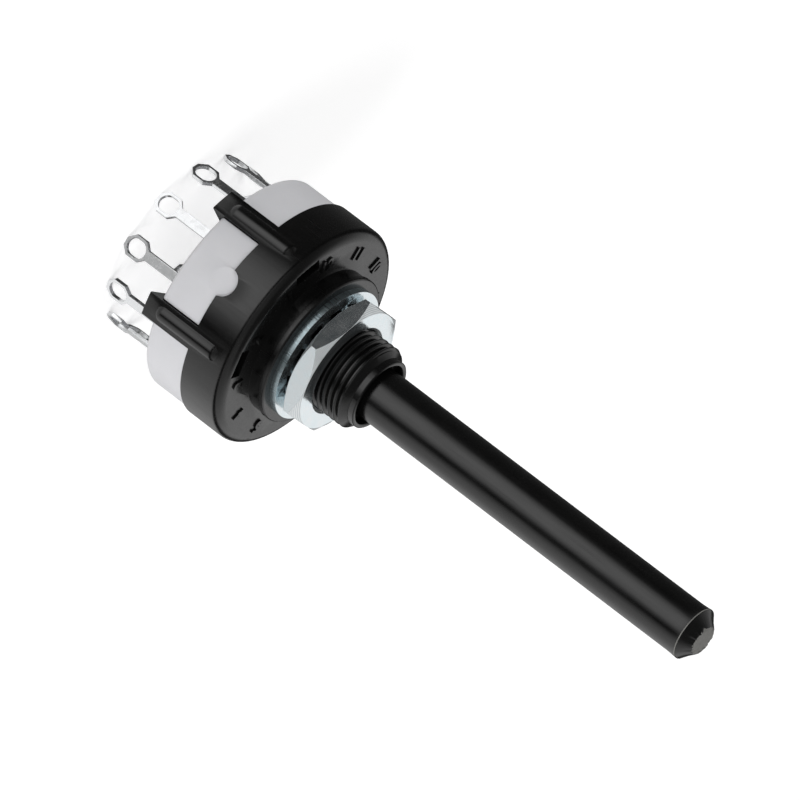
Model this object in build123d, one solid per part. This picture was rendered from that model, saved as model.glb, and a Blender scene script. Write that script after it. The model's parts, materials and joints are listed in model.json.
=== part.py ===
"""Twelve-position moulded rotary switch for panel mounting, in millimetres.

+Z runs along the spindle towards its free end. The origin is on the spindle axis, in the
plane of the stop ring's front face, which bears on the back of the panel.
"""
from build123d import *
from math import cos, radians, sin, tan
import os

# Clearances
running_gap = 0.05
fitting_gap = 0.05
end_gap = 0.1
clip_gap = 0.1
foot_gap = 0.03
seat_gap = 0.02
spring_gap = 0.05

# How far cutting shapes run past what they cut, and joined shapes into each other
cut_past = 1.0
sink = 0.5

# Indexing
positions = 12
position_step = 360 / positions
first_terminal_angle = -105.0
first_detent_angle = 0.0

# Spindle
shaft_radius = 3.0
shaft_length = 53.4
journal_radius = shaft_radius + 0.3
tip_chamfer_length = 1.4
tip_radius = shaft_radius - 1.3
shoulder_radius = shaft_radius
tail_radius = shaft_radius - 0.8

# Front housing: skirt, front wall, boss and threaded bush
skirt_radius = 13.4
skirt_length = 5.5
front_edge_fillet = 1.15
front_wall = 1.8
bush_radius = 5.0
bush_length = 8.3
bush_nose_length = 1.35
bush_cone_length = 0.55
bush_mouth_radius = shaft_radius + 0.65
bush_mouth_depth = 1.5
bush_nose_wall = 0.5
bush_nose_radius = bush_mouth_radius + bush_nose_wall
boss_radius = bush_radius + 3.85
boss_height = 1.4
rear_recess_wall = 1.8
rear_recess_depth = 0.8
rear_recess_radius = skirt_radius - rear_recess_wall

# Adjustable stop
stop_ring_overhang = 0.15
stop_ring_radius = boss_radius + stop_ring_overhang
stop_ring_thickness = 0.7
stop_ring_chamfer = 0.15
stop_circle_radius = bush_radius + 1.6
stop_pin_radius = 0.8
stop_peg_radius = 0.85
stop_groove_half_width = stop_peg_radius + 0.25
stop_groove_depth = 0.8

# Detent
skirt_wall = 3.4
track_radius = skirt_radius - skirt_wall
hub_clearance = 0.7
hub_radius = track_radius - hub_clearance
ball_radius = 1.25
ball_travel = 0.5
valley_clearance = 0.2
detent_wire_radius = 0.2
detent_coil_radius = ball_radius - 0.3
detent_spring_turns = 16

# Rear wafer
wafer_step = 0.3
wafer_radius = skirt_radius - wafer_step
wafer_length = 5.35
wafer_floor = 1.5
wafer_wall = 2.1
wafer_cavity_radius = wafer_radius - wafer_wall
wafer_edge_fillet = 0.5
spigot_wall = 0.55
collar_wall = 0.95
collar_radius = tail_radius + collar_wall
collar_height = 1.45
key_radius = 1.6
key_inset = 0.3
key_thickness = 1.3
key_angle = -90.0

# Snap clips
clip_angles = (-120.0, -60.0, 60.0, 120.0)
clip_width = 2.8
clip_thickness = 1.0
clip_hook_reach = 0.8
clip_hook_length = 1.3
clip_hook_lip = 0.25
clip_tip_width = 0.3
rib_width = 1.8
rib_height = 0.45
rib_root = 0.8
rib_front_inset = 2.0
rib_rear_inset = 0.15
window_side_gap = 0.3
window_width = clip_width + 2 * window_side_gap
window_depth = 1.35

# Terminals and contacts
sheet = 0.45
terminal_inset = 0.3
terminal_circle_radius = wafer_cavity_radius - terminal_inset
stem_width = 1.15
terminal_reach = 7.85
eye_width = 2.55
eye_length = 3.1
eye_corner = 0.8
eye_side_rim = 0.325
eye_end_rim = 0.375
eye_hole_width = eye_width - 2 * eye_side_rim
eye_hole_length = eye_length - 2 * eye_end_rim
pad_width = 2.0
pad_length = 2.7
pad_inner_radius = terminal_circle_radius - pad_length
common_angle = 60.0
common_ring_inner = collar_radius + 0.2
common_ring_width = 2.0
common_ring_outer = common_ring_inner + common_ring_width
common_circle_radius = common_ring_outer - 0.65
wiper_width = 2.2
wiper_thickness = 0.3
wiper_foot_radius = 0.35
wiper_inner_radius = common_ring_outer - 0.95
wiper_outer_radius = pad_inner_radius + 0.9
wiper_overhang = 0.5
guide_wall = 1.0
guide_inset = 0.6
contact_spring_circle = (wiper_inner_radius + wiper_outer_radius) / 2
contact_coil_radius = wiper_width / 2 - 0.25
contact_wire_radius = 0.15
contact_spring_turns = 6
contact_pocket_depth = 1.0

# Nut and lock washer
nut_wall = 2.2
nut_across_flats = 2 * (bush_radius + nut_wall)
nut_thickness = 2.2
nut_chamfer_angle = 35.0
nut_countersink = 0.35
nut_angle = 30.0
washer_width = 2.95
washer_radius = bush_radius + washer_width
washer_thickness = 0.8
washer_tooth_rise = 0.7
washer_rim_width = 1.45
washer_teeth = 12
washer_bore_gap = 0.25
tooth_root_width = 2.0
tooth_tip_width = 1.5
tooth_thickness = 0.5
tooth_angle = 42.0

# Levels that follow from the sizes above
ring_back_z = -stop_ring_thickness
face_z = ring_back_z - boss_height
cavity_z = face_z - front_wall
skirt_end_z = face_z - skirt_length
wafer_end_z = skirt_end_z - wafer_length
floor_z = wafer_end_z + wafer_floor
pad_top_z = floor_z + sheet
terminal_end_z = wafer_end_z - terminal_reach
hub_front_z = cavity_z - end_gap
hub_back_z = skirt_end_z
ball_z = (hub_front_z + hub_back_z) / 2
valley_radius = ball_radius + valley_clearance
valley_depth_radius = track_radius + ball_travel
ball_rest_radius = track_radius - running_gap - ball_radius
wiper_top_z = pad_top_z + foot_gap + wiper_foot_radius + wiper_thickness
clip_inner_radius = skirt_radius - clip_thickness
clip_tip_z = wafer_end_z - clip_hook_length
eye_z = terminal_end_z + eye_length / 2


def cylinder_between(radius, low, high):
    """Cylinder on the Z axis from one level to another."""
    return Pos(0, 0, low) * Cylinder(radius, high - low, align=(Align.CENTER, Align.CENTER, Align.MIN))


def tube_between(outer, inner, low, high):
    """Tube on the Z axis."""
    return cylinder_between(outer, low, high) - cylinder_between(inner, low - cut_past, high + cut_past)


def cone_between(low_radius, high_radius, low, high):
    """Cone frustum on the Z axis."""
    cone = Cone(low_radius, high_radius, high - low, align=(Align.CENTER, Align.CENTER, Align.MIN))
    return Pos(0, 0, low) * cone


def block(x_range, width, z_range):
    """Block in the XZ plane's ranges, centred on Y."""
    length = x_range[1] - x_range[0]
    height = z_range[1] - z_range[0]
    solid = Box(length, width, height, align=(Align.MIN, Align.CENTER, Align.MIN))
    return Pos(x_range[0], 0, z_range[0]) * solid


def turned(shape, angle):
    """Shape turned about the spindle axis."""
    return Rot(0, 0, angle) * shape


def around(shape, count, first_angle=0.0):
    """Copies of a shape in equal steps about the spindle axis."""
    step = 360 / count
    return [turned(shape, first_angle + step * index) for index in range(count)]


def peg(radius, circle_radius, angle, low, high):
    """Upright round peg on a circle about the axis."""
    return turned(Pos(circle_radius, 0, 0) * cylinder_between(radius, low, high), angle)


def housing_blank():
    """Solid blank of the housing down to the clips' tips, with its rounded front edge."""
    blank = cylinder_between(skirt_radius, clip_tip_z, face_z)
    blank = fillet(blank.edges().group_by(Axis.Z)[-1], front_edge_fillet)
    return blank + cylinder_between(boss_radius, face_z - sink, ring_back_z)


def bush():
    """Bush at its thread's full diameter, coned down to its nose."""
    cone_z = bush_length - bush_nose_length
    nose_z = cone_z + bush_cone_length
    body = cylinder_between(bush_radius, face_z, cone_z)
    body += cone_between(bush_radius, bush_nose_radius, cone_z, nose_z)
    return body + cylinder_between(bush_nose_radius, nose_z, bush_length)


def clip():
    """Room that a snap clip's arm and hook take below the skirt, at angle zero."""
    beyond = skirt_radius + clip_thickness
    hook_root = clip_inner_radius - clip_hook_reach
    hook_face_z = wafer_end_z - seat_gap
    profile = Polyline(
        (clip_inner_radius, skirt_end_z + cut_past),
        (beyond, skirt_end_z + cut_past),
        (beyond, clip_tip_z),
        (skirt_radius - clip_tip_width, clip_tip_z),
        (hook_root, hook_face_z - clip_hook_lip),
        (hook_root, hook_face_z),
        (clip_inner_radius, hook_face_z),
        close=True,
    )
    return extrude(Plane.XZ * make_face(profile), clip_width / 2, both=True)


def around_clips():
    """Everything below the skirt's edge except the clips."""
    waste = cylinder_between(skirt_radius + cut_past, clip_tip_z - cut_past, skirt_end_z)
    return waste - [turned(clip(), angle) for angle in clip_angles]


def clip_rib():
    """Raised half-round rib that stiffens a clip, with domed ends, at angle zero."""
    rear_z = wafer_end_z + rib_rear_inset + rib_width / 2
    front_z = face_z - rib_front_inset - rib_width / 2
    round_radius = (rib_width**2 / 4 + rib_height**2) / (2 * rib_height)
    centre = skirt_radius + rib_height - round_radius
    rib = Pos(centre, 0, 0) * cylinder_between(round_radius, rear_z, front_z)
    rib += [Pos(centre, 0, z) * Sphere(round_radius) for z in (rear_z, front_z)]
    x_range = (skirt_radius - rib_root, skirt_radius + rib_width)
    z_range = (rear_z - rib_width, front_z + rib_width)
    return rib & block(x_range, 2 * rib_width, z_range)


def housing_windows():
    """Openings through the front wall and skirt behind each clip."""
    outer = clip_inner_radius
    opening = block((outer - window_depth, outer), window_width, (skirt_end_z - cut_past, face_z + cut_past))
    return [turned(opening, angle) for angle in clip_angles]


def stop_holes():
    """Holes through the boss, one for each place of the stop pin."""
    radius = stop_pin_radius + running_gap
    first = first_terminal_angle - position_step / 2
    step = position_step
    angles = [first + step * index for index in range(positions)]
    return [peg(radius, stop_circle_radius, angle, cavity_z - cut_past, cut_past) for angle in angles]


def stop_groove():
    """Ring groove in the cavity's front wall in which the spindle's stop peg runs."""
    outer = stop_circle_radius + stop_groove_half_width
    inner = stop_circle_radius - stop_groove_half_width
    return tube_between(outer, inner, cavity_z - cut_past, cavity_z + stop_groove_depth)


def detent_track():
    """Round cavity of the detent with a valley for each position."""
    track = cylinder_between(track_radius, skirt_end_z - cut_past, cavity_z)
    centre = valley_depth_radius - valley_radius
    valley = Pos(centre, 0, 0) * cylinder_between(valley_radius, skirt_end_z - cut_past, cavity_z)
    return [track] + around(valley, positions, first_detent_angle)


def key_profile(radius, depth):
    """Half-round key below the skirt's edge, lying through the wall at angle zero."""
    disc = Cylinder(radius, depth, rotation=(0, 90, 0), align=(Align.CENTER, Align.CENTER, Align.MIN))
    return Pos(wafer_radius - depth, 0, skirt_end_z - key_inset) * disc


def front_housing():
    """One black moulding: skirt, front wall, boss, bush and snap clips."""
    body = housing_blank() + bush() - around_clips()
    for angle in clip_angles:
        body += turned(clip_rib(), angle)
    body -= detent_track()
    body -= stop_groove()
    body -= stop_holes()
    body -= housing_windows()
    body -= cylinder_between(rear_recess_radius, skirt_end_z, skirt_end_z + rear_recess_depth)
    body -= cylinder_between(journal_radius + running_gap, cavity_z - cut_past, bush_length + cut_past)
    body -= cylinder_between(bush_mouth_radius, bush_length - bush_mouth_depth, bush_length + cut_past)
    notch = Pos(cut_past, 0, 0) * key_profile(key_radius + fitting_gap, key_thickness + cut_past + sink)
    return body - turned(notch, key_angle)


def stop_ring():
    """Ring with a pin that drops into one of the boss's holes and limits the turn."""
    ring = tube_between(stop_ring_radius, bush_radius + fitting_gap, ring_back_z, 0)
    ring = chamfer(ring.edges().group_by(Axis.Z)[-1].sort_by(SortBy.LENGTH)[-1], stop_ring_chamfer)
    pin_angle = first_terminal_angle - position_step / 2
    pin_end = cavity_z + end_gap
    return ring + peg(stop_pin_radius, stop_circle_radius, pin_angle, pin_end, ring_back_z)


def terminal_slot(circle_radius):
    """Slot in the wafer's floor for a terminal's stem, at angle zero."""
    half = sheet / 2 + fitting_gap
    x_range = (circle_radius - half, circle_radius + half)
    return block(x_range, stem_width + 2 * fitting_gap, (wafer_end_z - cut_past, floor_z + cut_past))


def clip_slot():
    """Slot down the wafer's side for a clip's arm, at angle zero."""
    x_range = (clip_inner_radius - clip_gap, skirt_radius + cut_past)
    return block(x_range, clip_width + 2 * clip_gap, (wafer_end_z - cut_past, skirt_end_z + cut_past))


def rear_wafer():
    """Pale moulded cup that carries the terminals and closes the housing."""
    body = cylinder_between(wafer_radius, wafer_end_z, skirt_end_z)
    body = fillet(body.edges().group_by(Axis.Z)[0], wafer_edge_fillet)
    body -= cylinder_between(wafer_cavity_radius, floor_z, skirt_end_z + cut_past)
    spigot_radius = rear_recess_radius - fitting_gap
    spigot_top = skirt_end_z + rear_recess_depth - end_gap
    body += tube_between(spigot_radius, spigot_radius - spigot_wall, skirt_end_z - sink, spigot_top)
    body += cylinder_between(collar_radius, floor_z - sink, floor_z + collar_height)
    body -= cylinder_between(tail_radius + running_gap, wafer_end_z - cut_past, skirt_end_z)
    body += turned(key_profile(key_radius, key_thickness), key_angle)
    for slot in around(terminal_slot(terminal_circle_radius), positions, first_terminal_angle):
        body -= slot
    body -= turned(terminal_slot(common_circle_radius), common_angle)
    for angle in clip_angles:
        body -= turned(clip_slot(), angle)
    return body


def solder_eye():
    """Flat eight-sided eye with an oval hole, in the YZ plane through the origin."""
    outline = Rectangle(eye_width, eye_length)
    outline = chamfer(outline.vertices(), eye_corner)
    hole = SlotOverall(eye_hole_length, eye_hole_width, rotation=90)
    return extrude(Plane.YZ * (outline - hole), sheet / 2, both=True)


def stem(circle_radius):
    """Stem and eye of a terminal, at angle zero."""
    x_range = (circle_radius - sheet / 2, circle_radius + sheet / 2)
    hole_top = eye_z + eye_hole_length / 2
    bar = block(x_range, stem_width, (hole_top + eye_end_rim / 2, pad_top_z))
    return bar + Pos(circle_radius, 0, eye_z) * solder_eye()


def terminal(angle):
    """Position terminal: pad on the wafer's floor, stem through it and solder eye."""
    x_range = (pad_inner_radius, terminal_circle_radius + sheet / 2)
    pad = block(x_range, pad_width, (floor_z, pad_top_z))
    return turned(pad + stem(terminal_circle_radius), angle)


def common_terminal():
    """Common terminal: ring track round the collar, stem and solder eye."""
    ring = tube_between(common_ring_outer, common_ring_inner, floor_z, pad_top_z)
    return ring + turned(stem(common_circle_radius), common_angle)


def wiper_guides():
    """Two walls under the hub that carry the moving contact round, at angle zero."""
    side = wiper_width / 2 + fitting_gap
    low = wiper_top_z - wiper_thickness
    x_range = (collar_radius + end_gap, hub_radius - guide_inset)
    walls = block(x_range, 2 * (side + guide_wall), (low, hub_back_z + sink))
    return walls - block((0, hub_radius), 2 * side, (low - cut_past, hub_back_z))


def spindle():
    """Black moulding: shaft, journal, detent hub, shoulder, tail and stop peg."""
    chamfer_z = shaft_length - tip_chamfer_length
    body = cylinder_between(shaft_radius, hub_back_z, chamfer_z)
    body += cone_between(shaft_radius, tip_radius, chamfer_z, shaft_length)
    body += cylinder_between(journal_radius, hub_back_z, bush_length - bush_mouth_depth - end_gap)
    body += cylinder_between(hub_radius, hub_back_z, hub_front_z)
    body += cylinder_between(shoulder_radius, floor_z + collar_height + running_gap, hub_back_z)
    body += cylinder_between(tail_radius, wafer_end_z + end_gap, hub_back_z)
    peg_top = cavity_z + stop_groove_depth - end_gap
    body += peg(stop_peg_radius, stop_circle_radius, first_terminal_angle, hub_front_z - sink, peg_top)
    body += turned(wiper_guides(), first_terminal_angle)
    bore = Cylinder(ball_radius + running_gap, 2 * (hub_radius + cut_past), rotation=(0, 90, 0))
    body -= turned(Pos(0, 0, ball_z) * bore, first_detent_angle)
    pocket_radius = contact_coil_radius + contact_wire_radius + spring_gap
    pocket_top = hub_back_z + contact_pocket_depth
    body -= peg(pocket_radius, contact_spring_circle, first_terminal_angle, wiper_top_z, pocket_top)
    return body


def coil(length, turns, coil_radius, wire_radius):
    """Compression spring along Z from zero to its length."""
    pitch = (length - 2 * wire_radius) / turns
    path = Helix(pitch=pitch, height=length - 2 * wire_radius, radius=coil_radius)
    section = Plane(origin=path @ 0, z_dir=path % 0) * Circle(wire_radius)
    return Pos(0, 0, wire_radius) * sweep(section, path=path, is_frenet=True)


def detent_spring():
    """Spring between the two detent balls, along X through the hub."""
    length = 2 * (ball_rest_radius - ball_radius - spring_gap)
    spring = coil(length, detent_spring_turns, detent_coil_radius, detent_wire_radius)
    spring = Rot(0, 90, 0) * Pos(0, 0, -length / 2) * spring
    return turned(Pos(0, 0, ball_z) * spring, first_detent_angle)


def detent_ball(angle):
    """Steel ball held just clear of the detent crests."""
    return turned(Pos(ball_rest_radius, 0, ball_z) * Sphere(ball_radius), angle)


def contact_spring():
    """Spring that presses the moving contact on its tracks."""
    low = wiper_top_z + spring_gap
    high = hub_back_z + contact_pocket_depth - spring_gap
    spring = coil(high - low, contact_spring_turns, contact_coil_radius, contact_wire_radius)
    return turned(Pos(contact_spring_circle, 0, low) * spring, first_terminal_angle)


def moving_contact():
    """Sprung bridge from the common ring to a position pad, with two domed feet."""
    x_range = (wiper_inner_radius - wiper_overhang, wiper_outer_radius + wiper_overhang)
    foot_z = wiper_top_z - wiper_thickness
    strip = block(x_range, wiper_width, (foot_z, wiper_top_z))
    foot = Cylinder(wiper_foot_radius, wiper_width, rotation=(90, 0, 0))
    inner_foot = Pos(wiper_inner_radius, 0, foot_z) * foot
    outer_foot = Pos(wiper_outer_radius, 0, foot_z) * foot
    return turned(strip + inner_foot + outer_foot, first_terminal_angle)


def tooth_section(radius, width, angle, centre_z):
    """Section of a tooth across its length, twisted by an angle."""
    tilt = radians(angle)
    plane = Plane(origin=(radius, 0, centre_z), x_dir=(0, cos(tilt), sin(tilt)), z_dir=(1, 0, 0))
    return plane * Rectangle(width, tooth_thickness)


def washer_tooth():
    """One tooth at angle zero, twisted towards its tip so that its high corner just clears the nut."""
    root = washer_radius - washer_rim_width + sink
    tip = bush_radius + washer_bore_gap
    tilt = radians(tooth_angle)
    half_height = (tooth_tip_width * sin(tilt) + tooth_thickness * cos(tilt)) / 2
    tip_z = washer_thickness + washer_tooth_rise - seat_gap - half_height
    root_section = tooth_section(root, tooth_root_width, 0, washer_thickness / 2)
    tip_section = tooth_section(tip, tooth_tip_width, tooth_angle, tip_z)
    return loft([tip_section, root_section], ruled=True)


def lock_washer():
    """Internal-tooth washer, its teeth twisted up against the nut."""
    inner = washer_radius - washer_rim_width
    ring = tube_between(washer_radius, inner, 0, washer_thickness)
    return ring + around(washer_tooth(), washer_teeth)


def mounting_nut():
    """Thin hexagon nut, chamfered on both faces and countersunk at both ends of its bore."""
    low = washer_thickness + washer_tooth_rise
    high = low + nut_thickness
    hexagon = RegularPolygon(nut_across_flats / 2, 6, major_radius=False, rotation=nut_angle)
    nut = extrude(Plane.XY.offset(low) * hexagon, nut_thickness)
    flat_radius = nut_across_flats / 2
    middle = (low + high) / 2
    reach = flat_radius + (high - middle) / tan(radians(nut_chamfer_angle))
    nut &= cone_between(flat_radius, reach, low, middle) + cone_between(reach, flat_radius, middle, high)
    bore_radius = bush_radius + running_gap
    nut -= cylinder_between(bore_radius, low - cut_past, high + cut_past)
    mouth_radius = bore_radius + nut_countersink
    nut -= cone_between(bore_radius, mouth_radius, high - nut_countersink, high)
    return nut - cone_between(mouth_radius, bore_radius, low, low + nut_countersink)


def write(name, shape):
    """Write one node."""
    export_step(shape, f"parts/{name}.step")


def main():
    """Build every node."""
    os.makedirs("parts", exist_ok=True)
    write("front_housing", front_housing())
    write("rear_wafer", rear_wafer())
    write("stop_ring", stop_ring())
    write("spindle", spindle())
    write("detent_spring", detent_spring())
    write("detent_ball_a", detent_ball(first_detent_angle))
    write("detent_ball_b", detent_ball(first_detent_angle + 180))
    write("moving_contact", moving_contact())
    write("contact_spring", contact_spring())
    write("common_terminal", common_terminal())
    for index in range(positions):
        angle = first_terminal_angle + position_step * index
        write(f"terminal_{index + 1:02d}", terminal(angle))
    write("lock_washer", lock_washer())
    write("mounting_nut", mounting_nut())


main()
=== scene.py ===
import bpy
import bmesh
import json
from math import atan2, ceil, cos, hypot, pi, radians, sin
from mathutils import Matrix, Vector, noise


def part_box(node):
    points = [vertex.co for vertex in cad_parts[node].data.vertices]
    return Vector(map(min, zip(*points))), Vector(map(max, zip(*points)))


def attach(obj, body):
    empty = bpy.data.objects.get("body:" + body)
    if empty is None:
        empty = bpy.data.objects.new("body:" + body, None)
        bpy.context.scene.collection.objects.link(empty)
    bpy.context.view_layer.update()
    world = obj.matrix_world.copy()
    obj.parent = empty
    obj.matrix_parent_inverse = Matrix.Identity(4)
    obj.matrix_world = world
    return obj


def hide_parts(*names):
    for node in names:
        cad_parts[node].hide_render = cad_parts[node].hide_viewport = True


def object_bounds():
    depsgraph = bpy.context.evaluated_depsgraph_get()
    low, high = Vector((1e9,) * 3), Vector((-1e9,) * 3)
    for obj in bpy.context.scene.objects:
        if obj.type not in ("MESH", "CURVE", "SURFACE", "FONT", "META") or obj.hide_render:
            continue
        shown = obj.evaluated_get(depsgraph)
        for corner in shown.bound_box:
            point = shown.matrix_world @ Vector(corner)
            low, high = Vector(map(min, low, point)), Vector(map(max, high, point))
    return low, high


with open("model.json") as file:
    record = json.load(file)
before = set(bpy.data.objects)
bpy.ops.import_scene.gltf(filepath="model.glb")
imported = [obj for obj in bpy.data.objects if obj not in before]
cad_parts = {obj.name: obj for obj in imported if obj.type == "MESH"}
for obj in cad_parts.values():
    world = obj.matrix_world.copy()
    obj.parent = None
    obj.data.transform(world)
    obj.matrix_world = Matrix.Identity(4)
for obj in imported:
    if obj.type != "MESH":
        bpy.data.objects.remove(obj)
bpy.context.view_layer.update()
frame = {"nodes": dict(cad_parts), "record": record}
nodes = frame["nodes"]
mounts = {mount["name"]: mount for mount in frame["record"]["mounts"]}
mm = 0.001
print("stage: frame loaded")

view = {
    "azimuth": -91.5,      # from the spindle axis to the camera, turned about +Z
    "elevation": 22.5,
    "axisTilt": 37.17,     # how far the spindle points below the frame's level
    "distance": 1.0256,
    "lens": 450.0,
    "sensor": 36.0,
    "clip": (0.05, 20),
    "frameWidth": 800,
    "axisPoint": (650.95, 601.3),   # a place in the frame that the spindle's axis passes
    "axisHeight": 0.0461,           # how far up the spindle that place is
}


def viewDirections():
    turn, lift = radians(view["azimuth"]), radians(view["elevation"])
    level = Vector((cos(turn), sin(turn), 0))
    toCamera = level * cos(lift) + Vector((0, 0, sin(lift)))
    upright = Vector((0, 0, cos(lift))) - level * sin(lift)
    across = upright.cross(toCamera)
    return toCamera, upright, across


def makeCamera():
    toCamera, upright, across = viewDirections()
    tilt = radians(view["axisTilt"])
    right = upright * cos(tilt) - across * sin(tilt)
    up = -upright * sin(tilt) - across * cos(tilt)
    data = bpy.data.cameras.new("camera")
    data.lens = view["lens"]
    data.sensor_width = view["sensor"]
    data.clip_start, data.clip_end = view["clip"]
    half = view["frameWidth"] / 2
    perDot = view["distance"] * view["sensor"] / view["lens"] / view["frameWidth"]
    aside = right * (view["axisPoint"][0] - half) + up * (half - view["axisPoint"][1])
    target = Vector((0, 0, view["axisHeight"])) - aside * perDot
    camera = bpy.data.objects.new("camera", data)
    camera.matrix_world = Matrix((right, up, toCamera)).transposed().to_4x4()
    camera.matrix_world.translation = target + toCamera * view["distance"]
    bpy.context.scene.collection.objects.link(camera)
    bpy.context.scene.camera = camera


makeCamera()
print("stage: camera")

# ---- materials: small node helpers first


def newMaterial(name):
    material = bpy.data.materials.new(name)
    material.use_nodes = True
    tree = material.node_tree
    return material, tree, tree.nodes["Principled BSDF"]


def addNode(tree, kind, **values):
    node = tree.nodes.new(kind)
    for key, value in values.items():
        if key in node.inputs:
            node.inputs[key].default_value = value
        else:
            setattr(node, key, value)
    return node


def objectPlace(tree, scale=(1, 1, 1)):
    place = addNode(tree, "ShaderNodeTexCoord")
    mapping = addNode(tree, "ShaderNodeMapping")
    mapping.inputs["Scale"].default_value = scale
    tree.links.new(place.outputs["Object"], mapping.inputs["Vector"])
    return mapping.outputs["Vector"]


def noiseField(tree, vector, scale, detail=3.0, roughness=0.55):
    field = addNode(tree, "ShaderNodeTexNoise", Scale=scale, Detail=detail, Roughness=roughness)
    tree.links.new(vector, field.inputs["Vector"])
    return field.outputs["Fac"]


def spread(tree, source, low, high, fromLow=0.3, fromHigh=0.7):
    mapped = addNode(tree, "ShaderNodeMapRange")
    mapped.inputs["From Min"].default_value = fromLow
    mapped.inputs["From Max"].default_value = fromHigh
    mapped.inputs["To Min"].default_value = low
    mapped.inputs["To Max"].default_value = high
    tree.links.new(source, mapped.inputs["Value"])
    return mapped.outputs["Result"]


def blendColours(tree, factor, first, second):
    mix = addNode(tree, "ShaderNodeMix", data_type="RGBA")
    mix.inputs[6].default_value = (*first, 1)
    mix.inputs[7].default_value = (*second, 1)
    tree.links.new(factor, mix.inputs[0])
    return mix.outputs[2]


def addBump(tree, height, strength, distance, before=None):
    bump = addNode(tree, "ShaderNodeBump", Strength=strength, Distance=distance)
    tree.links.new(height, bump.inputs["Height"])
    if before is not None:
        tree.links.new(before, bump.inputs["Normal"])
    return bump.outputs["Normal"]


# links a look's two colours, its roughness range and its constants to the shader
def dress(tree, shader, look, colourField, roughField, normal=None):
    colour = blendColours(tree, colourField, look["dark"], look["light"])
    tree.links.new(colour, shader.inputs["Base Color"])
    tree.links.new(spread(tree, roughField, *look["roughness"]), shader.inputs["Roughness"])
    if normal is not None:
        tree.links.new(normal, shader.inputs["Normal"])
    for name, value in look["constants"].items():
        shader.inputs[name].default_value = value


# in each look a field is its scale, a bump is (strength, metres), and a stretch lengthens
# the field along the axis
blackLook = {
    "dark": (0.0014, 0.0014, 0.0014),
    "light": (0.0030, 0.0030, 0.0029),
    "roughness": (0.17, 0.28),
    "wave": 420,       # slow unevenness of the moulding
    "scuffs": 2600,
    "grain": 9000,     # moulded skin
    "stretch": (1, 1, 0.06),
    "waveBump": (0.3, 0.00004),
    "grainBump": (0.14, 0.00001),
    "constants": {"IOR": 1.5},
}


def blackPlastic():
    material, tree, shader = newMaterial("blackPlastic")
    place = objectPlace(tree)
    along = objectPlace(tree, blackLook["stretch"])
    wave = noiseField(tree, place, blackLook["wave"], 2)
    scuffs = noiseField(tree, along, blackLook["scuffs"], 4)
    grain = noiseField(tree, place, blackLook["grain"], 2)
    waved = addBump(tree, wave, *blackLook["waveBump"])
    normal = addBump(tree, grain, *blackLook["grainBump"], waved)
    dress(tree, shader, blackLook, wave, scuffs, normal)
    return material


waferLook = {
    "dark": (0.545, 0.545, 0.565),
    "light": (0.600, 0.600, 0.618),
    "roughness": (0.42, 0.56),
    "cloud": 260,
    "grain": 5200,
    "bump": (0.25, 0.00002),
    "constants": {
        "Subsurface Weight": 0.15,
        "Subsurface Radius": (0.0012, 0.0011, 0.001),
        "Subsurface Scale": 1.0,
    },
}


def palePlastic():
    material, tree, shader = newMaterial("palePlastic")
    place = objectPlace(tree)
    cloud = noiseField(tree, place, waferLook["cloud"], 3)
    grain = noiseField(tree, place, waferLook["grain"], 3)
    dress(tree, shader, waferLook, cloud, grain, addBump(tree, grain, *waferLook["bump"]))
    return material


zincLook = {
    "dark": (0.68, 0.79, 0.83),
    "light": (0.90, 0.91, 0.915),
    "roughness": (0.10, 0.22),
    "patches": 900,
    "pits": 5200,
    "bump": (0.35, 0.00002),
    "constants": {"Metallic": 0.97},
}


def zincPlate():
    material, tree, shader = newMaterial("zincPlate")
    place = objectPlace(tree)
    patches = noiseField(tree, place, zincLook["patches"], 4)
    pits = noiseField(tree, place, zincLook["pits"], 3)
    dress(tree, shader, zincLook, patches, patches, addBump(tree, pits, *zincLook["bump"]))
    return material


shearLook = {
    "dark": (0.12, 0.18, 0.20),
    "light": (0.58, 0.66, 0.69),
    "roughness": (0.2, 0.42),
    "streaks": 5200,
    "stretch": (1, 1, 0.05),
    "bump": (0.8, 0.00004),
    "constants": {"Metallic": 0.96},
}


# the washer's stamped edge, with streaks along the punch's travel
def shearedZinc():
    material, tree, shader = newMaterial("shearedZinc")
    along = objectPlace(tree, shearLook["stretch"])
    streaks = noiseField(tree, along, shearLook["streaks"], 4)
    dress(tree, shader, shearLook, streaks, streaks, addBump(tree, streaks, *shearLook["bump"]))
    return material


turnedLook = {
    "dark": (0.50, 0.55, 0.57),
    "light": (0.86, 0.88, 0.88),
    "roughness": (0.3, 0.45),
    "grooves": 1900,
    "waver": 1.5,
    "bump": (0.4, 0.00002),
    "constants": {"Metallic": 0.5},
}


# the nut's lathe-cut chamfers, with rings about the axis
def turnedZinc():
    material, tree, shader = newMaterial("turnedZinc")
    rings = addNode(
        tree, "ShaderNodeTexWave", wave_type="RINGS", rings_direction="Z",
        Scale=turnedLook["grooves"], Distortion=turnedLook["waver"],
    )
    tree.links.new(objectPlace(tree), rings.inputs["Vector"])
    lines = rings.outputs["Fac"]
    dress(tree, shader, turnedLook, lines, lines, addBump(tree, lines, *turnedLook["bump"]))
    return material


# colours of the torn gate, which also serve as a painted highlight on the flash ring
tornGateAndSheenLook = {
    "dark": (0.055, 0.055, 0.052),
    "light": (0.26, 0.255, 0.24),
    "roughness": (0.5, 0.75),
    "crumbs": 5200,
    "bump": (0.8, 0.00008),
    "constants": {},
}


# the broken gate at the shaft's end; the same pale colour is also put on the flash ring at the
# chamfer's base as a painted highlight line
def tornGateAndSheen():
    material, tree, shader = newMaterial("tornGateAndSheen")
    crumbs = noiseField(tree, objectPlace(tree), tornGateAndSheenLook["crumbs"], 5, 0.7)
    dress(tree, shader, tornGateAndSheenLook, crumbs, crumbs, addBump(tree, crumbs, *tornGateAndSheenLook["bump"]))
    return material


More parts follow.
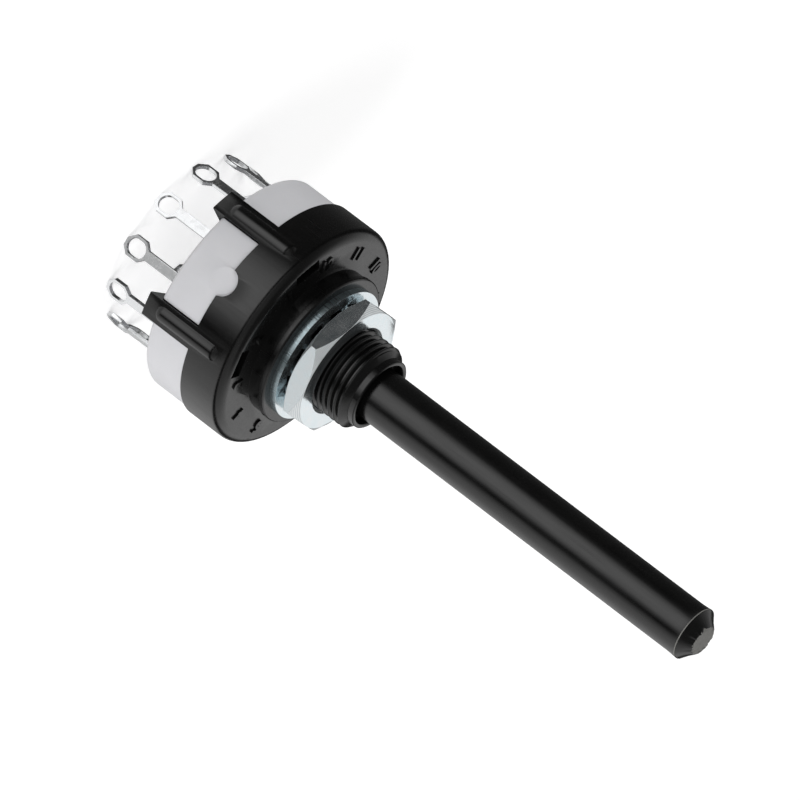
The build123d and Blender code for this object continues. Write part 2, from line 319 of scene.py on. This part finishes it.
tinLook = {
    "dark": (0.62, 0.63, 0.64),
    "light": (0.84, 0.85, 0.86),
    "roughness": (0.14, 0.34),
    "patches": 1500,
    "drawn": 9000,
    "stretch": (1, 1, 0.08),
    "bump": (0.2, 0.00001),
    "constants": {"Metallic": 1.0},
}


def tinnedMetal():
    material, tree, shader = newMaterial("tinnedMetal")
    patches = noiseField(tree, objectPlace(tree), tinLook["patches"], 4)
    drawn = noiseField(tree, objectPlace(tree, tinLook["stretch"]), tinLook["drawn"], 3)
    dress(tree, shader, tinLook, patches, patches, addBump(tree, drawn, *tinLook["bump"]))
    return material


steelLook = {
    "dark": (0.496, 0.496, 0.504),
    "light": (0.62, 0.62, 0.63),
    "roughness": (0.16, 0.3),
    "marks": 5000,
    "detail": 3,
    "constants": {"Metallic": 1.0},
}
brassLook = {
    "dark": (0.45, 0.32, 0.16),
    "light": (0.72, 0.56, 0.30),
    "roughness": (0.2, 0.4),
    "marks": 2500,
    "detail": 4,
    "constants": {"Metallic": 1.0},
}


def markedMetal(name, look):
    material, tree, shader = newMaterial(name)
    marks = noiseField(tree, objectPlace(tree), look["marks"], look["detail"])
    dress(tree, shader, look, marks, marks)
    return material


black = blackPlastic()
pale = palePlastic()
zinc = zincPlate()
tinned = tinnedMetal()
sheared = shearedZinc()
turned = turnedZinc()
gateAndFlashSheen = tornGateAndSheen()
steel = markedMetal("springSteel", steelLook)
brass = markedMetal("contactBrass", brassLook)
print("stage: materials")

# ---- mesh helpers


def finishPiece(bm, name, material, body, smoothAngle=32):
    bmesh.ops.recalc_face_normals(bm, faces=bm.faces)
    mesh = bpy.data.meshes.new(name)
    for face in bm.faces:
        face.smooth = True
    bm.to_mesh(mesh)
    bm.free()
    mesh.set_sharp_from_angle(angle=radians(smoothAngle))
    mesh.materials.append(material)
    piece = bpy.data.objects.new(name, mesh)
    bpy.context.scene.collection.objects.link(piece)
    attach(piece, body)
    return piece


weld = {"merge": 0.002 * mm, "degenerate": 0.001 * mm, "flatAngle": 0.6}


def copyNode(node):
    bm = bmesh.new()
    bm.from_mesh(nodes[node].data)
    bmesh.ops.remove_doubles(bm, verts=bm.verts, dist=weld["merge"])
    bmesh.ops.dissolve_degenerate(bm, edges=bm.edges, dist=weld["degenerate"])
    flat = radians(weld["flatAngle"])
    bmesh.ops.dissolve_limit(bm, angle_limit=flat, verts=bm.verts, edges=bm.edges)
    return bm


def softEdges(piece, width, segments=2, angle=38):
    bevel = piece.modifiers.new("softEdges", "BEVEL")
    bevel.width = width
    bevel.segments = segments
    bevel.limit_method = "ANGLE"
    bevel.angle_limit = radians(angle)
    bevel.use_clamp_overlap = True
    bevel.harden_normals = False
    return piece


def cutAt(bm, height, keepBelow=True):
    parts = bm.verts[:] + bm.edges[:] + bm.faces[:]
    cut = bmesh.ops.bisect_plane(
        bm, geom=parts, plane_co=(0, 0, height), plane_no=(0, 0, 1),
        clear_outer=keepBelow, clear_inner=not keepBelow,
    )
    return [item for item in cut["geom_cut"] if isinstance(item, bmesh.types.BMEdge)]


# extrudes a ring of edges and sets the new ring's radius and height
def ringStep(bm, edges, radius, height):
    grown = bmesh.ops.extrude_edge_only(bm, edges=edges)["geom"]
    for vert in [item for item in grown if isinstance(item, bmesh.types.BMVert)]:
        turn = atan2(vert.co.y, vert.co.x)
        vert.co = Vector((radius * cos(turn), radius * sin(turn), height))
    return [item for item in grown if isinstance(item, bmesh.types.BMEdge)]


# closed shape of revolution about the spindle's axis from (radius, height) points in mm
def spunShape(profile, steps=96):
    bm = bmesh.new()
    chain = [bm.verts.new((radius * mm, 0, height * mm)) for radius, height in profile]
    edges = [bm.edges.new(pair) for pair in zip(chain, chain[1:])]
    bmesh.ops.spin(
        bm, geom=chain + edges, cent=(0, 0, 0), axis=(0, 0, 1), dvec=(0, 0, 0),
        angle=2 * pi, steps=steps, use_merge=True, use_duplicate=False,
    )
    bmesh.ops.remove_doubles(bm, verts=bm.verts, dist=0.0005 * mm)
    return bm


# ---- front housing: the moulding below the thread, and the threaded bush on it
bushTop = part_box("front_housing")[1].z
thread = {
    "start": -0.3 * mm,
    "runout": bushTop - 1.35 * mm,
    "pitch": 0.75 * mm,
    "low": -1.594 * mm,   # sets where the crests fall on the camera's side
    "crest": mounts["panel_axis"]["dims"]["r_mm"] * mm,
    "depth": 0.44 * mm,
    "steps": 72,
    "noseRadius": 4.15 * mm,
    "mouthRadius": 3.65 * mm,
    "mouthDepth": 1.5 * mm,
    "boreRadius": 3.35 * mm,
    "lip": 0.1 * mm,
    "smoothAngle": 50,
}
# one pitch of the thread, as (share of the pitch, share of the depth)
threadShape = (
    (0, 0), (0.10, 0), (0.36, 0.86), (0.43, 0.98), (0.50, 1),
    (0.57, 0.98), (0.64, 0.86), (0.90, 0), (1, 0),
)
shell = {"smoothAngle": 37, "softEdge": 0.07 * mm}


def makeHousing():
    bm = copyNode("front_housing")
    rim = cutAt(bm, thread["start"])
    bmesh.ops.bridge_loops(bm, edges=rim)
    housing = finishPiece(bm, "housingShell", black, "housing", shell["smoothAngle"])
    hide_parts("front_housing")
    softEdges(housing, shell["softEdge"])


def makeThread():
    root = thread["crest"] - thread["depth"]
    bm = bmesh.new()
    low = thread["low"]
    chain = [
        bm.verts.new((root + rise * thread["depth"], 0, low + along * thread["pitch"]))
        for along, rise in threadShape
    ]
    edges = [bm.edges.new(pair) for pair in zip(chain, chain[1:])]
    turns = ceil((thread["runout"] - low) / thread["pitch"]) + 1
    bmesh.ops.spin(
        bm, geom=chain + edges, cent=(0, 0, 0), axis=(0, 0, 1),
        dvec=(0, 0, thread["pitch"] / thread["steps"]), angle=2 * pi * turns,
        steps=turns * thread["steps"], use_merge=False, use_duplicate=False,
    )
    bmesh.ops.remove_doubles(bm, verts=bm.verts, dist=weld["merge"])
    foot = cutAt(bm, thread["start"], keepBelow=False)
    top = cutAt(bm, thread["runout"])
    foot = [edge for edge in foot if edge.is_valid]
    mouth, nose, lip = thread["mouthRadius"], thread["noseRadius"], thread["lip"]
    # from the thread's end up the cone and nose, over the lip and down the bore
    rings = (
        (thread["crest"] - 0.22 * mm, thread["runout"] + 0.12 * mm),
        (nose + 0.03 * mm, bushTop - 0.82 * mm),
        (nose, bushTop - 0.78 * mm),
        (nose, bushTop - 0.73 * mm),
        (nose, bushTop - (lip + 0.05 * mm)),
        (nose, bushTop - lip),
        (nose - lip, bushTop),
        (mouth + lip, bushTop),
        (mouth, bushTop - lip),
        (mouth, bushTop - thread["mouthDepth"]),
        (thread["boreRadius"], bushTop - thread["mouthDepth"]),
        (thread["boreRadius"], thread["start"]),
    )
    for radius, height in rings:
        top = ringStep(bm, top, radius, height)
    bmesh.ops.bridge_loops(bm, edges=top + foot)
    bush = finishPiece(bm, "bushThread", black, "housing", thread["smoothAngle"])


makeHousing()
makeThread()
print("stage: housing and thread")

# ---- raised numerals round the front face
dial = {
    "face": -2.1 * mm,
    "circle": 10.75 * mm,
    "size": 2.1 * mm,
    "stroke": 0.06 * mm,
    "rise": 0.2 * mm,
    "sink": 0.08 * mm,
    "firstAngle": -105.0,
    "count": 12,
}


def makeNumerals():
    bm = bmesh.new()
    for index in range(dial["count"]):
        curve = bpy.data.curves.new("numeral", "FONT")
        curve.body = str(index + 1)
        curve.align_x, curve.align_y = "CENTER", "CENTER"
        curve.size = dial["size"]
        curve.extrude = (dial["rise"] + dial["sink"]) / 2
        curve.offset = dial["stroke"]
        curve.resolution_u = 3
        text = bpy.data.objects.new("numeral", curve)
        bpy.context.scene.collection.objects.link(text)
        graph = bpy.context.evaluated_depsgraph_get()
        shape = bpy.data.meshes.new_from_object(text.evaluated_get(graph))
        turn = radians(dial["firstAngle"] + 360 / dial["count"] * index)
        outward = Matrix.Translation((dial["circle"], 0, 0)) @ Matrix.Rotation(-pi / 2, 4, "Z")
        middle = dial["face"] + (dial["rise"] - dial["sink"]) / 2
        raised = Matrix.Translation((0, 0, middle))
        shape.transform(raised @ (Matrix.Rotation(turn, 4, "Z") @ outward))
        bm.from_mesh(shape)
        bpy.data.objects.remove(text)
        bpy.data.curves.remove(curve)
        bpy.data.meshes.remove(shape)
    bmesh.ops.remove_doubles(bm, verts=bm.verts, dist=weld["degenerate"])
    numerals = finishPiece(bm, "dialNumerals", black, "housing")


makeNumerals()
print("stage: numerals")

# ---- spindle: the hidden core from the frame, and the long shaft with its rough gate
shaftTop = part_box("spindle")[1].z / mm
coreLook = {"smoothAngle": 28, "softEdge": 0.06 * mm}
# lengths in mm
shaft = {
    "cut": bushTop / mm - 1.45,
    "radius": mounts["spindle_end"]["dims"]["r_mm"],
    "chamferLength": 1.4,
    "flash": 0.08,
    "gateRadius": 1.7,
    "gateDrop": 0.1,
    "gateRings": (0.84, 0.74, 0.63, 0.52, 0.4, 0.28, 0.15),
    "steps": 128,
    "smoothAngle": 40,
}
# how the gate is torn
tear = {
    "from": 0.3,           # below the top
    "coarse": 1500,
    "fine": 4300,
    "depth": 0.30,
    "rim": 0.3,            # width of the rim round the gate
    "insideShare": 0.4,    # the rim is torn deeper than what it surrounds
    "rimWaver": 0.16,
    "farRise": 0.12,       # the side away from the camera stands higher
    "highest": 0.1,
}


def makeSpindle():
    bm = copyNode("spindle")
    rim = cutAt(bm, shaft["cut"] * mm)
    bmesh.ops.contextual_create(bm, geom=rim)
    core = finishPiece(bm, "spindleCore", black, "rotor", coreLook["smoothAngle"])
    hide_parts("spindle")
    softEdges(core, coreLook["softEdge"])


def tearGate(bm):
    gate = shaft["gateRadius"]
    for vert in bm.verts:
        reach = hypot(vert.co.x, vert.co.y) / mm
        if vert.co.z / mm <= shaftTop - tear["from"]:
            continue
        ragged = noise.noise(vert.co * tear["coarse"]) + 0.5 * noise.noise(vert.co * tear["fine"])
        farSide = max(0.0, vert.co.y / mm - 0.5) / gate
        share = tear["insideShare"] if reach < gate - tear["rim"] else 1
        lost = tear["depth"] * max(0.0, ragged) * share
        vert.co.z += mm * min(tear["highest"], tear["farRise"] * farSide - lost)
        if reach > gate - tear["rim"]:
            vert.co.xy *= 1 + tear["rimWaver"] * ragged


def makeShaft():
    radius, gate, flash = shaft["radius"], shaft["gateRadius"], shaft["flash"]
    base = shaftTop - shaft["chamferLength"]
    gateTop = shaftTop - shaft["gateDrop"]
    profile = [
        (0, shaft["cut"]),
        (radius, shaft["cut"]),
        (radius, base - 1.2),
        (radius + 0.4 * flash, base - 0.5),
        (radius + 0.9 * flash, base - 0.08),
        (radius + flash, base - 0.03),
        (radius + 0.8 * flash, base + 0.03),
        (radius - 0.02, base + 0.09),
        (radius + (gate - radius) * 0.5, base + 0.62),
        (gate + 0.12, shaftTop - 0.24),
        (gate + 0.02, shaftTop - 0.16),
        (gate - 0.1, gateTop),
    ]
    profile += [(gate * share, gateTop) for share in shaft["gateRings"]]
    profile += [(0, gateTop)]
    bm = spunShape(profile, shaft["steps"])
    tearGate(bm)
    piece = finishPiece(bm, "spindleShaft", black, "rotor", shaft["smoothAngle"])
    piece.data.materials.append(gateAndFlashSheen)
    for face in piece.data.polygons:
        middle = face.center
        inGate = hypot(middle.x, middle.y) < (gate - 0.02) * mm
        onGate = inGate and middle.z > (shaftTop - 0.5) * mm
        # painted highlight: the flash ring at the chamfer's base gets the pale gate colour so
        # that it shows as a bright line
        paintedFlashHighlight = abs(middle.z / mm - base) < 0.06
        face.material_index = 1 if onGate or paintedFlashHighlight else 0


makeSpindle()
makeShaft()
print("stage: spindle")

# ---- pieces whose shape comes straight from the frame, with their edges softened:
# each node's piece, material, slot, body and edge width in mm
softened = {
    "rear_wafer": ("waferCup", pale, "pale_plastic", "housing", 0.10),
    "stop_ring": ("stopRing", black, "black_plastic", "housing", 0.05),
    "mounting_nut": ("hexNut", zinc, "plated_steel", "nut", 0.08),
    "lock_washer": ("toothWasher", zinc, "plated_steel", "washer", 0.06),
    "common_terminal": ("commonLug", tinned, "tinned_metal", "housing", 0.05),
}
for index in range(dial["count"]):
    lug = (f"lug{index + 1:02d}", tinned, "tinned_metal", "housing", 0.05)
    softened[f"terminal_{index + 1:02d}"] = lug
softAngle = 30


def makeSoftened():
    for node, (name, material, slotName, body, width) in softened.items():
        piece = finishPiece(copyNode(node), name, material, body, softAngle)
        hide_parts(node)
        softEdges(piece, width * mm)
        if node == "lock_washer":
            streakEdge(piece)
        if node == "mounting_nut":
            turnChamfers(piece)


def streakEdge(piece):
    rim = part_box("lock_washer")[1].x - 0.1 * mm
    piece.data.materials.append(sheared)
    for face in piece.data.polygons:
        if abs(face.normal.z) < 0.3 and hypot(face.center.x, face.center.y) > rim:
            face.material_index = 1


def turnChamfers(piece):
    piece.data.materials.append(turned)
    for face in piece.data.polygons:
        if 0.3 < abs(face.normal.z) < 0.97:
            face.material_index = 1


makeSoftened()
print("stage: wafer, nut, washer and lugs")

# ---- hidden pieces keep the frame's own mesh
plain = {
    "detent_spring": steel,
    "contact_spring": steel,
    "detent_ball_a": steel,
    "detent_ball_b": steel,
    "moving_contact": brass,
}
for node, material in plain.items():
    nodes[node].data.materials.clear()
    nodes[node].data.materials.append(material)
print("stage: hidden pieces")

# ---- floor, surroundings and lamps
studio = {
    "floorSize": 6.0,
    "floorTone": 0.82,
    "floorGlow": 0.48,     # only the camera sees this
    "fillSize": 0.7,
    "fillDistance": 0.9,
    "overhead": 0.10,
    "below": 0.85,
    "horizon": 0.03,
}


def makeFloor():
    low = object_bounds()[0][2]
    bm = bmesh.new()
    bmesh.ops.create_grid(bm, x_segments=1, y_segments=1, size=studio["floorSize"] / 2)
    bmesh.ops.translate(bm, verts=bm.verts, vec=(0, 0, low))
    mesh = bpy.data.meshes.new("floor")
    bm.to_mesh(mesh)
    bm.free()
    floor = bpy.data.objects.new("floor", mesh)
    bpy.context.scene.collection.objects.link(floor)
    material, tree, shader = newMaterial("floorPaper")
    tone = studio["floorTone"]
    shader.inputs["Base Color"].default_value = (tone, tone, tone, 1)
    shader.inputs["Roughness"].default_value = 0.9
    shader.inputs["Specular IOR Level"].default_value = 0.0
    glow = addNode(tree, "ShaderNodeEmission", Strength=studio["floorGlow"])
    both = addNode(tree, "ShaderNodeAddShader")
    choose = addNode(tree, "ShaderNodeMixShader")
    path = addNode(tree, "ShaderNodeLightPath")
    tree.links.new(shader.outputs[0], both.inputs[0])
    tree.links.new(glow.outputs[0], both.inputs[1])
    tree.links.new(path.outputs["Is Camera Ray"], choose.inputs[0])
    tree.links.new(shader.outputs[0], choose.inputs[1])
    tree.links.new(both.outputs[0], choose.inputs[2])
    tree.links.new(choose.outputs[0], tree.nodes["Material Output"].inputs[0])
    mesh.materials.append(material)
    floor.visible_glossy = False


def rampOf(tree, source, stops):
    ramp = tree.nodes.new("ShaderNodeValToRGB")
    points = ramp.color_ramp.elements
    while len(points) > 1:
        points.remove(points[-1])
    points[0].position = stops[0][0]
    points[0].color = (stops[0][1],) * 3 + (1,)
    for position, value in stops[1:]:
        points.new(position).color = (value,) * 3 + (1,)
    tree.links.new(source, ramp.inputs[0])
    return ramp.outputs[0]


def mathNode(tree, operation, first, second=None, third=None):
    node = addNode(tree, "ShaderNodeMath", operation=operation)
    for socket, value in zip(node.inputs, (first, second, third)):
        if value is None:
            continue
        if isinstance(value, (int, float)):
            socket.default_value = value
        else:
            tree.links.new(value, socket)
    return node.outputs[0]


# brightness round the level, as (degrees from behind the object by the camera's side, value)
lowSides = (
    (-180, 0.10), (-75, 0.05), (-58, 0.04), (-46, 0.12), (-34, 1.1), (-20, 1.8), (0, 2.0),
    (18, 1.7), (32, 0.6), (40, 0.03), (50, 0.02), (60, 0.6), (75, 1.1), (120, 1.1),
    (160, 0.5), (180, 0.3),
)
highSides = (
    (-180, 0.95), (-150, 0.8), (-110, 0.25), (-60, 0.08), (-20, 0.25), (0, 0.35), (30, 0.3),
    (70, 0.5), (120, 0.8), (150, 0.95), (180, 0.95),
)
# what covers the level sides, as height stops from -1 below to 1 overhead, and the cover
skyLayers = (
    (((0.14, 0), (0.24, 1)), highSides),
    (((0.78, 0), (0.9, 1)), studio["overhead"]),
    (((-0.62, 1), (-0.52, 0)), studio["below"]),
    (((-0.24, 0), (-0.16, 1), (0.1, 1), (0.2, 0)), studio["horizon"]),
)


def layered(tree, factor, under, over):
    mix = addNode(tree, "ShaderNodeMix", data_type="RGBA")
    tree.links.new(factor, mix.inputs[0])
    tree.links.new(under, mix.inputs[6])
    if isinstance(over, float):
        mix.inputs[7].default_value = (over, over, over, 1)
    else:
        tree.links.new(over, mix.inputs[7])
    return mix.outputs[2]


def sidesRamp(tree, share, sides):
    return rampOf(tree, share, [(angle / 360 + 0.5, value) for angle, value in sides])


def makeSurroundings():
    world = bpy.data.worlds.new("surroundings")
    bpy.context.scene.world = world
    world.use_nodes = True
    tree = world.node_tree
    place = addNode(tree, "ShaderNodeTexCoord")
    facing = -radians(view["azimuth"])
    turn = addNode(tree, "ShaderNodeVectorRotate", rotation_type="Z_AXIS", Angle=facing)
    tree.links.new(place.outputs["Generated"], turn.inputs["Vector"])
    parts = addNode(tree, "ShaderNodeSeparateXYZ")
    tree.links.new(turn.outputs[0], parts.inputs[0])
    around = mathNode(tree, "ARCTAN2", parts.outputs[1], parts.outputs[0])
    share = mathNode(tree, "MULTIPLY_ADD", around, 1 / (2 * pi), 0.5)
    height = mathNode(tree, "MULTIPLY_ADD", parts.outputs[2], 0.5, 0.5)
    amount = sidesRamp(tree, share, lowSides)
    for stops, cover in skyLayers:
        over = cover if isinstance(cover, float) else sidesRamp(tree, share, cover)
        where = rampOf(tree, height, [(level / 2 + 0.5, value) for level, value in stops])
        amount = layered(tree, where, amount, over)
    path = addNode(tree, "ShaderNodeLightPath")
    seen = addNode(tree, "ShaderNodeMix", data_type="RGBA")
    seen.inputs[7].default_value = (1, 1, 1, 1)
    tree.links.new(path.outputs["Is Camera Ray"], seen.inputs[0])
    tree.links.new(amount, seen.inputs[6])
    tree.links.new(seen.outputs[2], tree.nodes["Background"].inputs["Color"])


# where each fill lamp stands: towards the camera, across the view and up
fills = {
    "lowerFill": {"watts": 7.0, "towards": 0.7, "across": 1, "up": 0.15},
    "upperFill": {"watts": 4.8, "towards": 0.45, "across": -1, "up": 0.3},
}


def makeFill(name, fill):
    toCamera, _, across = viewDirections()
    direction = toCamera * fill["towards"] + across * fill["across"] + Vector((0, 0, fill["up"]))
    data = bpy.data.lights.new(name, "AREA")
    data.energy = fill["watts"]
    data.size = studio["fillSize"]
    lamp = bpy.data.objects.new(name, data)
    place = direction.normalized() * studio["fillDistance"]
    lamp.matrix_world = place.to_track_quat("Z", "Y").to_matrix().to_4x4()
    lamp.matrix_world.translation = place
    lamp.visible_glossy = False
    bpy.context.scene.collection.objects.link(lamp)


makeFloor()
makeSurroundings()
for name, fill in fills.items():
    makeFill(name, fill)
bpy.context.scene.view_settings.view_transform = "Standard"
print("stage: studio")
